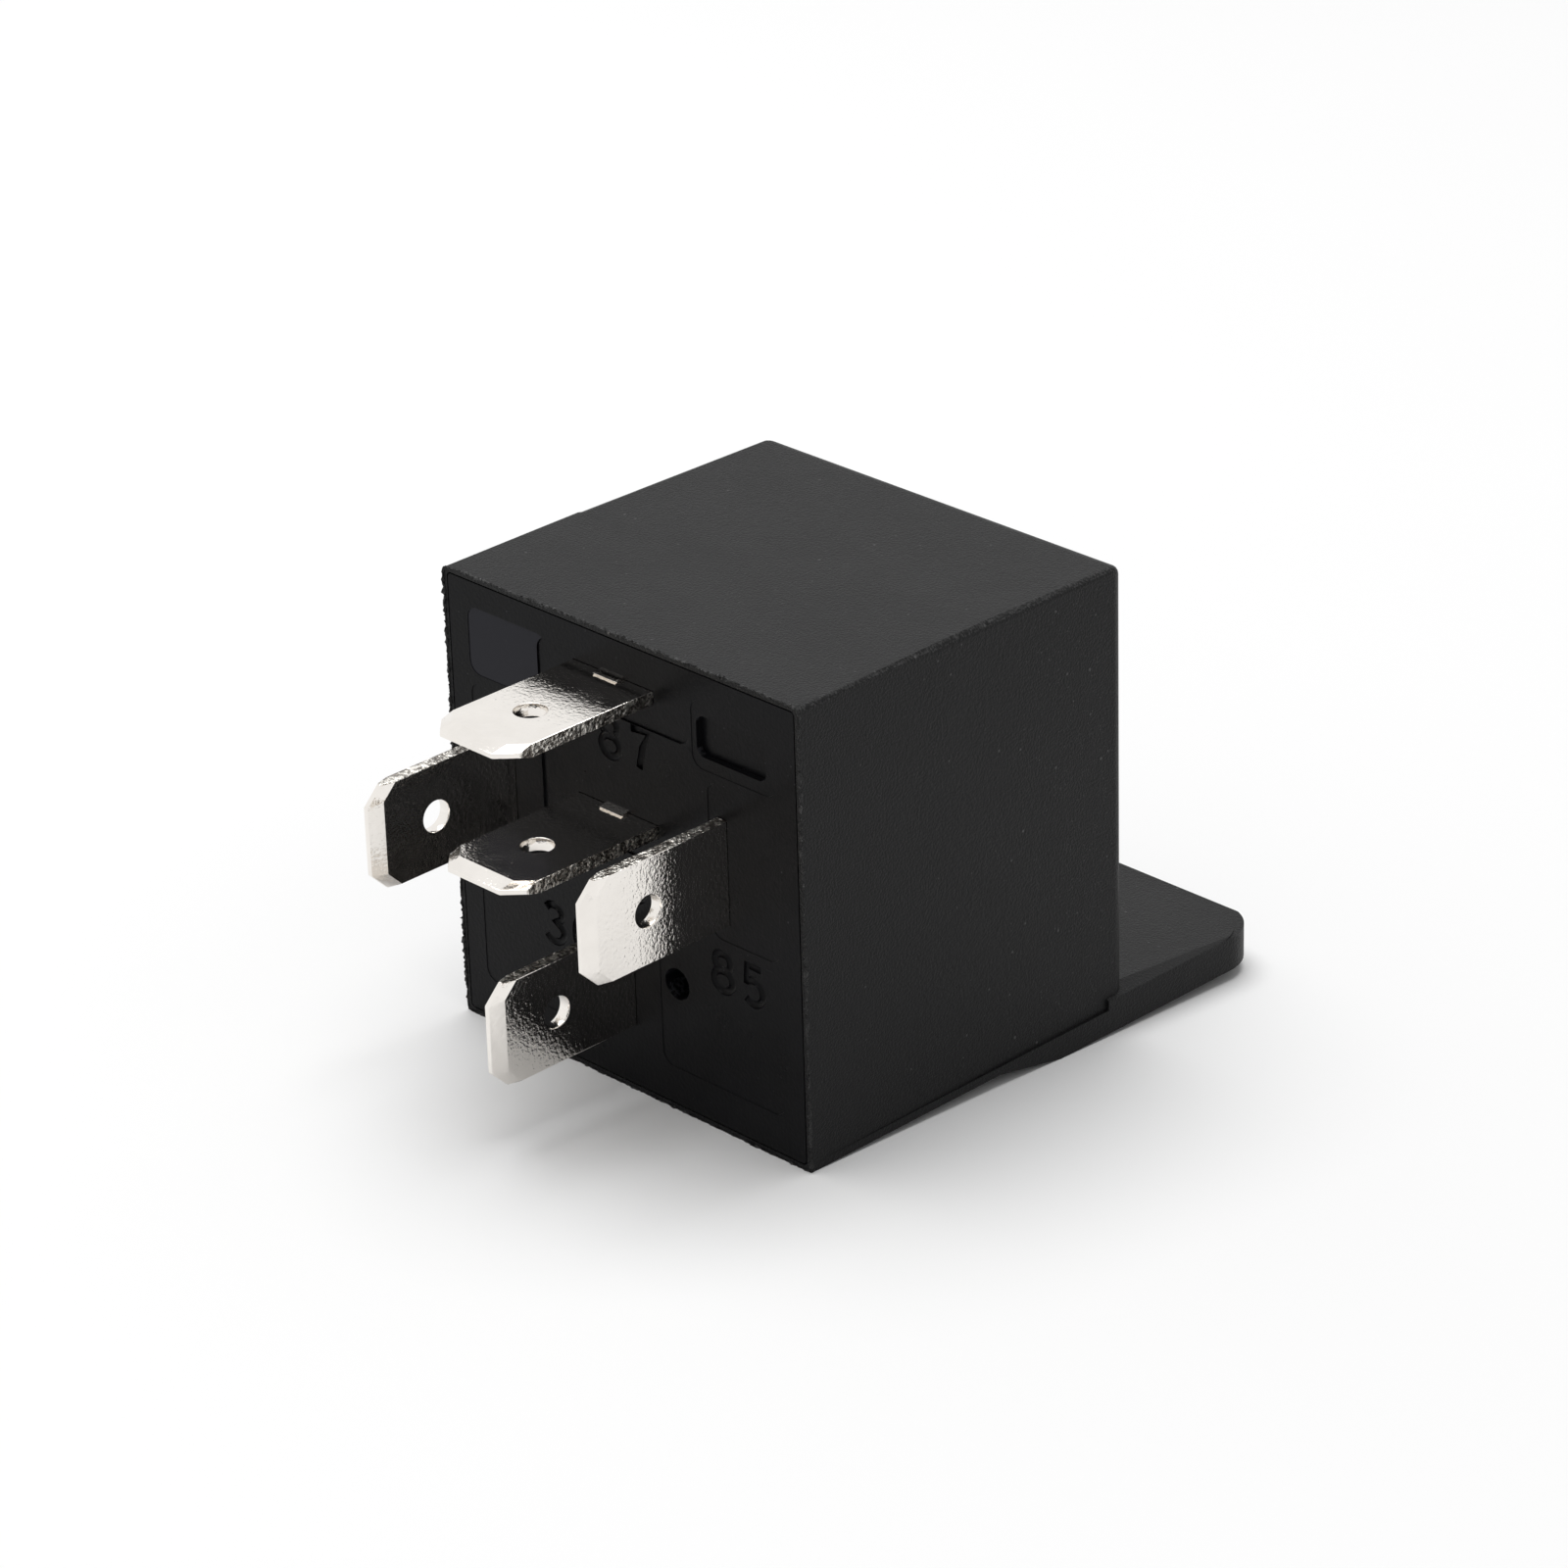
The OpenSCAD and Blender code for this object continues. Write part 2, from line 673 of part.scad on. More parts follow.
module terminal_87a() {
    arm_y = nc_arm_y + blade_t / 2;
    color([0.8, 0.8, 0.78])
        difference() {
            union() {
                translate([pin_87_x, 0, pin_87a_z])
                    flat_blade(link_y - bend_r);
                lance(pin_87a_z);
                along_x(pin_87_x - blade_w / 2, pin_87_x + blade_w / 2)
                    strip_2d([
                        [link_y - bend_r - 0.2, pin_87a_z], [link_y, pin_87a_z],
                        [link_y, riser_z - bend_r]
                    ], blade_t, bend_r);
                box(pin_87_x, riser_x + riser_w, link_y - blade_t / 2, link_y + blade_t / 2,
                    link_z, riser_z - bend_r);
                along_x(riser_x, riser_x + riser_w)
                    strip_2d([
                        [link_y, link_z], [link_y, riser_z],
                        [arm_y, riser_z], [arm_y, riser_z + arm_reach]
                    ], blade_t, bend_r);
                along_y(nc_arm_y, nc_arm_y + blade_t) {
                    box_2d(pin_87_x, riser_x + riser_w, riser_z + bend_r, riser_z + arm_reach);
                    box_2d(pin_87_x, riser_x - 0.4, riser_z - arm_reach, riser_z + arm_reach);
                    translate([pin_87_x, riser_z])
                        circle(arm_reach);
                }
            }
            bar_y(shank_d + 2 * seat_gap, nc_arm_y - cut, nc_arm_y + blade_t + cut, pin_87_x, contact_z);
        }
}

module yoke() {
    mid = yoke_t / 2;
    bend = 0.75 * yoke_t;
    color([0.62, 0.63, 0.66])
        difference() {
            union() {
                along_x(-yoke_w / 2, yoke_w / 2)
                    strip_2d([
                        [yoke_top, yoke_z + mid], [base_t + mid, yoke_z + mid],
                        [base_t + mid, yoke_leg_z]
                    ], yoke_t, bend);
                for (x = [-yoke_w / 2, yoke_w / 2 - lug_w])
                    box(x, x + lug_w, yoke_top - 1, yoke_top + 1, yoke_z, yoke_inner_z);
            }
            bar_y(shank_core_d + 2 * seat_gap, base_t - cut, flange_y + cut, 0, coil_z);
            for (side = [-1, 1])
                translate([side * rivet_pitch / 2, yoke_rivet_y, yoke_z - cut])
                    cylinder(d = rivet_shank_d + 2 * seat_gap, h = yoke_t + 2 * cut);
        }
}

module core() {
    color([0.7, 0.7, 0.72]) {
        bar_y(shank_core_d, base_t, flange_y + 0.5, 0, coil_z);
        bar_y(core_d, flange_y, pole_y, 0, coil_z);
        bar_y(pole_d, pole_y - pole_t, pole_y, 0, coil_z);
    }
}

module bobbin() {
    tube_d = core_d + 2 * seat_gap + 2 * tube_wall;
    color([0.85, 0.83, 0.74])
        difference() {
            union() {
                for (y = [flange_y, winding_y + winding_l])
                    along_y(y, y + flange_t)
                        round_box_2d(-flange_w / 2, flange_w / 2, flange_z, flange_z + flange_w, 2.5);
                bar_y(tube_d, flange_y, winding_y + winding_l, 0, coil_z);
            }
            bar_y(core_d + 2 * seat_gap, flange_y - cut, winding_y + winding_l + flange_t + cut, 0, coil_z);
        }
}

module coil_winding() {
    tube_r = core_d / 2 + seat_gap + tube_wall;
    turns = floor((winding_l - 2 * seat_gap) / wire_d);
    lay_r = winding_d / 2 - wire_d / 2;
    color([0.72, 0.35, 0.12])
        translate([0, winding_y + winding_l / 2, coil_z])
            rotate([90, 0, 0])
                rotate_extrude()
                    difference() {
                        union() {
                            box_2d(0, lay_r, -turns * wire_d / 2, turns * wire_d / 2);
                            for (i = [0 : turns - 1])
                                translate([lay_r, (i + 0.5 - turns / 2) * wire_d])
                                    circle(d = wire_d, $fn = 16);
                        }
                        box_2d(-cut, tube_r + seat_gap, -winding_l, winding_l);
                    }
}

// Wire from the winding to the fork of the coil terminal at x
module coil_lead(x) {
    side = sign(x);
    rise = wire_z - wire_d / 2 - coil_z;
    start = sqrt(winding_d * winding_d / 4 - rise * rise) + seat_gap;
    length = abs(x) + blade_t / 2 + 0.5 - start;
    color([0.72, 0.35, 0.12])
        translate([side * start, wire_y, wire_z])
            rotate([0, side * 90, 0])
                cylinder(d = wire_d, h = length);
}

module coil_lead_85() {
    coil_lead(pin_85_x);
}

module coil_lead_86() {
    coil_lead(pin_86_x);
}

module armature() {
    neck = yoke_w / 2 - lug_w - 0.15;
    half = armature_w / 2;
    color([0.62, 0.63, 0.66])
        difference() {
            along_y(armature_y, leaf_y) {
                box_2d(-neck, neck, armature_z, armature_end_z - 1);
                round_box_2d(-half, half, yoke_inner_z + 0.15, armature_end_z, 1.5);
            }
            for (side = [-1, 1])
                bar_y(rivet_shank_d + 2 * seat_gap, armature_y - cut, leaf_y + cut,
                    side * rivet_pitch / 2, armature_rivet_z);
        }
}

// Plan outline of the leaf spring's free arm, tapered from its shoulder to the contact
module leaf_arm_2d(shoulder_z) {
    half = leaf_w / 2;
    polygon([
        [-half, shoulder_z - cut], [half, shoulder_z - cut], [half, shoulder_z],
        [pin_87_x + leaf_end_r, contact_z], [pin_87_x - leaf_end_r, contact_z],
        [-half, shoulder_z]
    ]);
    translate([pin_87_x, contact_z])
        circle(leaf_end_r);
}

// Leaf spring: a foot on the yoke, a hump over the hinge, and the arm that carries the contact
module contact_spring() {
    foot_mid_z = yoke_z - leaf_t / 2;
    arm_mid_y = leaf_y + leaf_t / 2;
    hump_y = arm_mid_y + leaf_hump;
    hump_z = yoke_inner_z + 1;
    half = leaf_w / 2;
    shoulder_z = armature_end_z - 1.5;
    tip_z = contact_z + leaf_end_r;
    color([0.78, 0.6, 0.35])
        difference() {
            along_x(-half, half)
                strip_2d([
                    [leaf_foot_y, foot_mid_z], [hump_y, foot_mid_z], [hump_y, hump_z],
                    [arm_mid_y, hump_z], [arm_mid_y, tip_z + cut]
                ], leaf_t, leaf_bend_r);
            along_y(leaf_y - cut, leaf_y + leaf_t + cut)
                difference() {
                    box_2d(-leaf_w, leaf_w, shoulder_z, tip_z + 2 * cut);
                    leaf_arm_2d(shoulder_z);
                }
            along_y(leaf_y - cut, leaf_y + leaf_t + cut)
                round_box_2d(-0.8, 0.8, armature_rivet_z + 3, shoulder_z, 0.7);
            bar_y(shank_d + 2 * seat_gap, leaf_y - cut, leaf_y + leaf_t + cut, pin_87_x, contact_z);
            for (side = [-1, 1]) {
                bar_y(rivet_shank_d + 2 * seat_gap, leaf_y - cut, leaf_y + leaf_t + cut,
                    side * rivet_pitch / 2, armature_rivet_z);
                translate([side * rivet_pitch / 2, yoke_rivet_y, yoke_z - leaf_t - cut])
                    cylinder(d = rivet_shank_d + 2 * seat_gap, h = leaf_t + 2 * cut);
            }
        }
}

// Contact head with a chamfered face; the face looks towards +Y or, turned over, towards -Y
module contact_head(y_back, y_face) {
    chamfer = 0.2;
    thick = abs(y_face - y_back);
    translate([pin_87_x, y_back, contact_z])
        rotate([y_face > y_back ? -90 : 90, 0, 0])
            rotate_extrude()
                polygon([
                    [0, 0], [contact_d / 2, 0], [contact_d / 2, thick - chamfer],
                    [contact_d / 2 - chamfer, thick], [0, thick]
                ]);
}

module moving_contact() {
    color([0.86, 0.86, 0.84]) {
        contact_head(leaf_y, leaf_y - contact_t);
        contact_head(leaf_y + leaf_t, leaf_y + leaf_t + contact_t);
        bar_y(shank_d, leaf_y - 0.1, leaf_y + leaf_t + 0.1, pin_87_x, contact_z);
    }
}

module contact_no() {
    color([0.86, 0.86, 0.84]) {
        contact_head(no_arm_y + blade_t, no_face_y);
        bar_y(shank_d, no_arm_y - 0.1, no_arm_y + blade_t + 0.1, pin_87_x, contact_z);
        bar_y(shank_d + 0.8, no_arm_y - tail_t, no_arm_y, pin_87_x, contact_z);
    }
}

module contact_nc() {
    color([0.86, 0.86, 0.84]) {
        contact_head(nc_arm_y, nc_face_y);
        bar_y(shank_d, nc_arm_y - 0.1, nc_arm_y + blade_t + 0.1, pin_87_x, contact_z);
        bar_y(shank_d + 0.8, nc_arm_y + blade_t, nc_arm_y + blade_t + tail_t, pin_87_x, contact_z);
    }
}

// Rivet through the foot of the leaf spring and the yoke; side is -1 or 1
module yoke_rivet(side) {
    color([0.6, 0.6, 0.62])
        translate([side * rivet_pitch / 2, yoke_rivet_y, 0]) {
            translate([0, 0, yoke_z - leaf_t - tail_t])
                cylinder(d = rivet_d, h = tail_t);
            translate([0, 0, yoke_z - leaf_t - 0.1])
                cylinder(d = rivet_shank_d, h = leaf_t + yoke_t + 0.1);
        }
}

module yoke_rivet_1() {
    yoke_rivet(-1);
}

module yoke_rivet_2() {
    yoke_rivet(1);
}

// Rivet through the leaf spring and the armature; side is -1 or 1
module armature_rivet(side) {
    color([0.6, 0.6, 0.62]) {
        bar_y(rivet_d, leaf_y + leaf_t, leaf_y + leaf_t + tail_t, side * rivet_pitch / 2, armature_rivet_z);
        bar_y(rivet_shank_d, armature_y, leaf_y + leaf_t + 0.1, side * rivet_pitch / 2, armature_rivet_z);
    }
}

module armature_rivet_1() {
    armature_rivet(-1);
}

module armature_rivet_2() {
    armature_rivet(1);
}

cover();
base();
terminal_30();
terminal_85();
terminal_86();
terminal_87();
terminal_87a();
yoke();
core();
bobbin();
coil_winding();
coil_lead_85();
coil_lead_86();
armature();
contact_spring();
moving_contact();
contact_no();
contact_nc();
yoke_rivet_1();
yoke_rivet_2();
armature_rivet_1();
armature_rivet_2();
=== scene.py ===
import math

import bmesh
import bpy
from mathutils import Matrix, Vector


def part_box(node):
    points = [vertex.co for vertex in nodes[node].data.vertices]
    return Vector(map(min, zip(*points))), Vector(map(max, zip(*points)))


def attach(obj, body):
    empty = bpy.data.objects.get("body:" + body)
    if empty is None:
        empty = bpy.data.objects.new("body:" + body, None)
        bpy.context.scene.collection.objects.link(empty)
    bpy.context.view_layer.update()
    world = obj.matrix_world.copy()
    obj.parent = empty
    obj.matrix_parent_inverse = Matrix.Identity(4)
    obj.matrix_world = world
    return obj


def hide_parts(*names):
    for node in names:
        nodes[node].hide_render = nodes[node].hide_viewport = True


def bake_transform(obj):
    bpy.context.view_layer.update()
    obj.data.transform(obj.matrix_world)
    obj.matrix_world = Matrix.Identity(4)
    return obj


MM = 0.001

# Sizes of the finished details, in millimetres
EDGE_WIDTHS = {"cover": 0.12, "base": 0.07, "blade": 0.05, "spring": 0.03}
SHARP_TURN = math.radians(25)
SMOOTH_TURN = math.radians(30)
# The closed end: where its rounding lies along the cover, and how far it is set out and its corners rounded
END_FROM, END_TO = 24.15, 25.3
END_SET_OUT = 0.5
CORNER_ROUND = 0.3
# The lance on a flat blade: its reach out of the base, the step at its front, and how far the front runs on
LANCE_REACH = 0.4
LANCE_FRONT = 0.09
LANCE_RUN = 0.15
HOUSING_HALF = 14.0
RIM_RADIUS = 0.4
WIRE_RADIUS = 0.225
SLEEVE_INNER = 4.05
SLEEVE_SIDES = 48
NUMBER_HEIGHT = 2.8
NUMBER_WIDTH = 1.95
NUMBER_STEP = 2.4
NUMBER_STROKE = 0.5
NUMBER_DEPTH = 0.2
PANEL_DEPTH = 0.035
# Depth of each sunk face of the base as made, and as it shows with its drafted, worn walls
EASED_DEPTHS = [(0.15, PANEL_DEPTH), (0.5, 0.13), (0.6, 0.42)]
FLOOR_TILT = 0.05
FLOOR_SIZE = 0.9
LENS = 133.765

# Numbers sunk into the base: text, middle across the base, foot of the digits, depth of the face there
NUMBERS = [
    ("87", 0.4, 20.2, 0.0),
    ("85", 8.7, 8.65, PANEL_DEPTH),
    ("86", -6.0, 12.0, 0.0),
    ("87a", 3.1, 11.9, 0.0),
    ("30", -4.9, 6.9, PANEL_DEPTH),
]


def point(x, y, z):
    """Point from millimetres to metres."""
    return Vector((x * MM, y * MM, z * MM))


# ------------------------------------------------------------------ view

def make_camera():
    """Camera that looks down at the relay from in front of its right-hand corner."""
    right = Vector((0.70297, 0.71069, -0.02745))
    up = Vector((-0.29494, 0.32642, 0.89803))
    forward = Vector((-0.64718, 0.62320, -0.43908))
    data = bpy.data.cameras.new("camera")
    data.lens = LENS
    data.sensor_width = 36
    data.clip_start = 0.01
    data.clip_end = 20
    camera = bpy.data.objects.new("camera", data)
    bpy.context.scene.collection.objects.link(camera)
    turn = Matrix((right, up, -forward)).transposed().to_4x4()
    camera.matrix_world = Matrix.Translation(point(212.207, -192.041, 158.523)) @ turn
    bpy.context.scene.camera = camera


make_camera()
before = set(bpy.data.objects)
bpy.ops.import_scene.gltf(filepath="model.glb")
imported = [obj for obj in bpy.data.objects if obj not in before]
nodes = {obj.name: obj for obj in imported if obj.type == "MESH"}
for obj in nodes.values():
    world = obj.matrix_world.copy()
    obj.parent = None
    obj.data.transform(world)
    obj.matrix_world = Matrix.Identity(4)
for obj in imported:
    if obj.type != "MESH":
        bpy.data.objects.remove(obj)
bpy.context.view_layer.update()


# ------------------------------------------------------------------ meshes

def add_object(name, mesh):
    made = bpy.data.objects.new(name, mesh)
    bpy.context.scene.collection.objects.link(made)
    return made


def mesh_from(build, name, recalculate=True):
    """Mesh object from what build(bm) draws."""
    bm = bmesh.new()
    build(bm)
    bmesh.ops.remove_doubles(bm, verts=bm.verts, dist=1e-7)
    if recalculate:
        bmesh.ops.recalc_face_normals(bm, faces=bm.faces)
    mesh = bpy.data.meshes.new(name)
    bm.to_mesh(mesh)
    bm.free()
    return add_object(name, mesh)


def finished_copy(node, name, width, eased=None):
    """Merged copy of a CAD node with flat faces joined and its sharp edges softly rounded.

    eased(bm) may reshape it a little before the edges are rounded.
    """
    mesh = nodes[node].data.copy()
    mesh.name = name
    bm = bmesh.new()
    bm.from_mesh(mesh)
    bmesh.ops.remove_doubles(bm, verts=bm.verts, dist=2e-6)
    bmesh.ops.dissolve_degenerate(bm, edges=bm.edges, dist=1e-6)
    bmesh.ops.dissolve_limit(bm, angle_limit=math.radians(0.4), verts=bm.verts, edges=bm.edges)
    if eased:
        eased(bm)
    bm.to_mesh(mesh)
    bm.free()
    copy = add_object(name, mesh)
    soft = copy.modifiers.new("soft_edges", "BEVEL")
    soft.limit_method = "ANGLE"
    soft.angle_limit = SHARP_TURN
    soft.width = width * MM
    soft.segments = 2
    soft.use_clamp_overlap = True
    return apply_modifiers(copy)


def apply_modifiers(copy):
    """Plain mesh object with the result of the object's modifiers or of its curve."""
    graph = bpy.context.evaluated_depsgraph_get()
    graph.update()
    result = bpy.data.meshes.new_from_object(copy.evaluated_get(graph))
    if copy.type == "MESH":
        copy.modifiers.clear()
        copy.data = result
        return copy
    name = copy.name
    bpy.data.objects.remove(copy)
    return add_object(name, result)


def smooth_by_angle(piece):
    """Smooth shading that keeps broad faces flat, and edges sharp past SMOOTH_TURN."""
    bm = bmesh.new()
    bm.from_mesh(piece.data)
    slight, broad = math.radians(6), 0.25 * MM * MM
    for face in bm.faces:
        face.smooth = True
    for edge in bm.edges:
        turn = edge.calc_face_angle(0.0) if len(edge.link_faces) == 2 else 0.0
        crease = turn > slight and min(face.calc_area() for face in edge.link_faces) > broad
        edge.smooth = turn < SMOOTH_TURN and not crease
    bm.to_mesh(piece.data)
    bm.free()
    level = piece.modifiers.new("level_faces", "WEIGHTED_NORMAL")
    level.mode = "FACE_AREA"
    level.weight = 100
    level.keep_sharp = True
    return apply_modifiers(piece)


def dress(piece, material, body):
    """Gives a piece its one material, its body and the slot of its finish."""
    piece.data.materials.clear()
    piece.data.materials.append(material)
    for face in piece.data.polygons:
        face.material_index = 0
    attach(piece, body)


# ------------------------------------------------------------------ shader groups

class Nodes:
    """Short way to add and join shader nodes in one tree."""

    def __init__(self, tree):
        self.tree = tree

    def add(self, kind, **values):
        node = self.tree.nodes.new(kind)
        for name, value in values.items():
            setattr(node, name, value)
        return node

    def join(self, source, target):
        self.tree.links.new(source, target)

    def math(self, operation, first, second=None, clamp=False):
        node = self.add("ShaderNodeMath", operation=operation, use_clamp=clamp)
        for socket, value in zip(node.inputs, (first, second)):
            self.feed(value, socket)
        return node.outputs[0]

    def feed(self, value, socket):
        if value is None:
            return
        if isinstance(value, bpy.types.NodeSocket):
            self.join(value, socket)
        else:
            socket.default_value = value

    def ramp(self, value, low, high):
        """Mask that rises softly from 0 at low to 1 at high."""
        node = self.add("ShaderNodeMapRange", interpolation_type="SMOOTHSTEP")
        self.feed(value, node.inputs["Value"])
        self.feed(low, node.inputs["From Min"])
        self.feed(high, node.inputs["From Max"])
        return node.outputs["Result"]

    def mix_colour(self, mask, first, second):
        node = self.add("ShaderNodeMix", data_type="RGBA")
        self.feed(mask, node.inputs["Factor"])
        self.feed(first, node.inputs["A"])
        self.feed(second, node.inputs["B"])
        return node.outputs["Result"]

    def mix_value(self, mask, first, second):
        node = self.add("ShaderNodeMix", data_type="FLOAT")
        self.feed(mask, node.inputs["Factor"])
        self.feed(first, node.inputs["A"])
        self.feed(second, node.inputs["B"])
        return node.outputs["Result"]

    def noise(self, vector, scale, detail=3.0, rough=0.5):
        node = self.add("ShaderNodeTexNoise")
        self.feed(vector, node.inputs["Vector"])
        self.feed(scale, node.inputs["Scale"])
        node.inputs["Detail"].default_value = detail
        node.inputs["Roughness"].default_value = rough
        return node.outputs["Fac"]


def colour(red, green=None, blue=None):
    if green is None:
        green = blue = red
    return (red, green, blue, 1.0)


def new_group(name, inputs, outputs):
    """Shader group with named sockets; each row is (name, kind, default)."""
    tree = bpy.data.node_groups.new(name, "ShaderNodeTree")
    for label, kind, default in inputs:
        socket = tree.interface.new_socket(label, in_out="INPUT", socket_type=kind)
        if default is not None:
            socket.default_value = default
    for label, kind in outputs:
        tree.interface.new_socket(label, in_out="OUTPUT", socket_type=kind)
    kit = Nodes(tree)
    return tree, kit, kit.add("NodeGroupInput").outputs, kit.add("NodeGroupOutput").inputs


FLOAT = "NodeSocketFloat"
VECTOR = "NodeSocketVector"


def grain_group():
    """Spark-eroded mould grain: height of the skin and a slow variation over it."""
    tree, kit, given, out = new_group(
        "moulded_grain",
        [("Place", VECTOR, None), ("Grain per metre", FLOAT, 5000.0), ("Coarse share", FLOAT, 0.35),
         ("Blotch per metre", FLOAT, 180.0)],
        [("Height", FLOAT), ("Blotch", FLOAT)])
    fine = kit.noise(given["Place"], given["Grain per metre"], 2.0, 0.6)
    coarse = kit.noise(given["Place"], kit.math("MULTIPLY", given["Grain per metre"], 0.3), 1.0)
    kit.join(kit.mix_value(given["Coarse share"], fine, coarse), out["Height"])
    blotch = kit.noise(given["Place"], given["Blotch per metre"], 4.0, 0.6)
    kit.join(kit.ramp(blotch, 0.3, 0.7), out["Blotch"])
    return tree


def speck_group():
    """Sparse round specks; Share is the part of the cells that hold one."""
    tree, kit, given, out = new_group(
        "sparse_specks",
        [("Place", VECTOR, None), ("Cells per metre", FLOAT, 700.0),
         ("Share", FLOAT, 0.1), ("Size", FLOAT, 0.1)],
        [("Mask", FLOAT)])
    cells = kit.add("ShaderNodeTexVoronoi")
    kit.join(given["Place"], cells.inputs["Vector"])
    kit.join(given["Cells per metre"], cells.inputs["Scale"])
    split = kit.add("ShaderNodeSeparateColor")
    kit.join(cells.outputs["Color"], split.inputs[0])
    chosen = kit.math("LESS_THAN", split.outputs[0], given["Share"])
    reach = kit.math("MULTIPLY", given["Size"], kit.math("ADD", split.outputs[1], 0.35))
    near = kit.ramp(cells.outputs["Distance"], reach, kit.math("MULTIPLY", reach, 0.4))
    kit.join(kit.math("MULTIPLY", near, chosen), out["Mask"])
    return tree


def scratch_group():
    """Fine drawn lines along one direction: Stretch squeezes the pattern across the lines."""
    tree, kit, given, out = new_group(
        "drawn_lines",
        [("Place", VECTOR, None), ("Stretch", VECTOR, (1.0, 0.03, 1.0)),
         ("Lines per metre", FLOAT, 6000.0)],
        [("Height", FLOAT), ("Mask", FLOAT)])
    squeeze = kit.add("ShaderNodeVectorMath", operation="MULTIPLY")
    kit.join(given["Place"], squeeze.inputs[0])
    kit.join(given["Stretch"], squeeze.inputs[1])
    lines = kit.noise(squeeze.outputs[0], given["Lines per metre"], 2.0, 0.7)
    kit.join(lines, out["Height"])
    kit.join(kit.ramp(lines, 0.56, 0.7), out["Mask"])
    return tree


GRAIN = grain_group()
SPECKS = speck_group()
LINES = scratch_group()


class Finish:
    """One material with a Principled shader, read in object coordinates."""

    def __init__(self, name, **values):
        self.material = bpy.data.materials.new(name)
        self.material.use_nodes = True
        self.kit = Nodes(self.material.node_tree)
        self.shader = self.material.node_tree.nodes["Principled BSDF"]
        for label, value in values.items():
            self.shader.inputs[label.replace("_", " ")].default_value = value
        self.place = self.kit.add("ShaderNodeTexCoord").outputs["Object"]

    def use(self, tree, **values):
        node = self.kit.add("ShaderNodeGroup", node_tree=tree)
        self.kit.join(self.place, node.inputs["Place"])
        for label, value in values.items():
            self.kit.feed(value, node.inputs[label.replace("_", " ")])
        return node.outputs

    def attribute(self, name):
        return self.kit.add("ShaderNodeAttribute", attribute_name=name).outputs["Fac"]

    def set(self, label, value):
        self.kit.feed(value, self.shader.inputs[label])

    def bump(self, height, distance, strength):
        node = self.kit.add("ShaderNodeBump")
        node.inputs["Distance"].default_value = distance * MM
        self.kit.feed(strength, node.inputs["Strength"])
        self.kit.feed(height, node.inputs["Height"])
        self.kit.join(node.outputs["Normal"], self.shader.inputs["Normal"])


# ------------------------------------------------------------------ finishes

def moulded_plastic(name, dark, light, rough_low, rough_high, shine, grain, depth, speck_share, speck_tone):
    """Filled black plastic with mould grain, slow blotches and a few pale specks; the faces on its long
    edges get a paler tone, partly wear and partly painted highlight, and the smooth panel a lighter tone
    that is painted sheen.
    """
    made = Finish(name, Specular_IOR_Level=shine)
    kit = made.kit
    skin = made.use(GRAIN, Grain_per_metre=grain, Coarse_share=0.15, Blotch_per_metre=220.0)
    specks = made.use(SPECKS, Cells_per_metre=1100.0, Share=speck_share, Size=0.11)["Mask"]
    dust = made.use(SPECKS, Cells_per_metre=4200.0, Share=speck_share * 0.6, Size=0.22)["Mask"]
    edge = made.attribute("edge")
    # The faces that round the long edges get the pale tone in patches: partly edge wear, partly painted
    # highlight along the edges.
    rubbed_and_highlit = kit.math("MULTIPLY", edge, kit.ramp(skin["Height"], 0.45, 0.62))
    tone = kit.mix_colour(skin["Blotch"], colour(*dark), colour(*light))
    polish_and_sheen = made.attribute("polish_and_sheen")
    # The smooth panel gets a lighter tone: painted sheen for its stronger reflection, on top of its real
    # lower roughness.
    tone = kit.mix_colour(polish_and_sheen, tone, colour(0.016, 0.016, 0.021))
    worn_and_highlit = kit.mix_colour(kit.math("MULTIPLY", rubbed_and_highlit, 0.24), tone, colour(*speck_tone))
    pale = kit.math("MAXIMUM", kit.math("MULTIPLY", specks, 0.4), kit.math("MULTIPLY", dust, 0.25))
    made.set("Base Color", kit.mix_colour(pale, worn_and_highlit, colour(*speck_tone)))
    rough = kit.mix_value(skin["Blotch"], rough_low, rough_high)
    made.set("Roughness", kit.mix_value(polish_and_sheen, rough, 0.16))
    height = kit.math("ADD", skin["Height"], kit.math("MULTIPLY", specks, 0.5))
    made.bump(height, depth, kit.mix_value(polish_and_sheen, 0.6, 0.08))
    return made.material


def tin_plate():
    """Tinned brass: bright faces with a sandy skin, and coarse sheared edges."""
    made = Finish("tin_plate", Metallic=1.0)
    kit = made.kit
    skin = made.use(GRAIN, Grain_per_metre=4400.0, Coarse_share=0.0, Blotch_per_metre=500.0)
    torn = made.use(GRAIN, Grain_per_metre=4500.0, Blotch_per_metre=5500.0)
    lines = made.use(LINES, Stretch=(1.0, 0.3, 1.0), Lines_per_metre=5000.0)
    cut = made.attribute("cut")
    bare = made.use(SPECKS, Cells_per_metre=1500.0, Share=0.10, Size=0.12)["Mask"]
    bright = kit.mix_colour(skin["Blotch"], colour(0.83, 0.795, 0.75), colour(0.87, 0.835, 0.79))
    faces = kit.mix_colour(kit.math("MULTIPLY", bare, 0.4), bright, colour(0.45, 0.42, 0.36))
    dull = kit.mix_colour(kit.ramp(torn["Height"], 0.44, 0.58),
                          colour(0.2, 0.18, 0.16), colour(0.85, 0.82, 0.76))
    made.set("Base Color", kit.mix_colour(cut, faces, dull))
    made.set("Roughness", kit.mix_value(cut, kit.mix_value(skin["Blotch"], 0.08, 0.12), 0.28))
    rough_edge = kit.math("MULTIPLY", kit.math("ADD", torn["Height"], lines["Height"]), 6.0)
    made.bump(kit.mix_value(cut, skin["Height"], rough_edge), 0.034, 0.6)
    return made.material


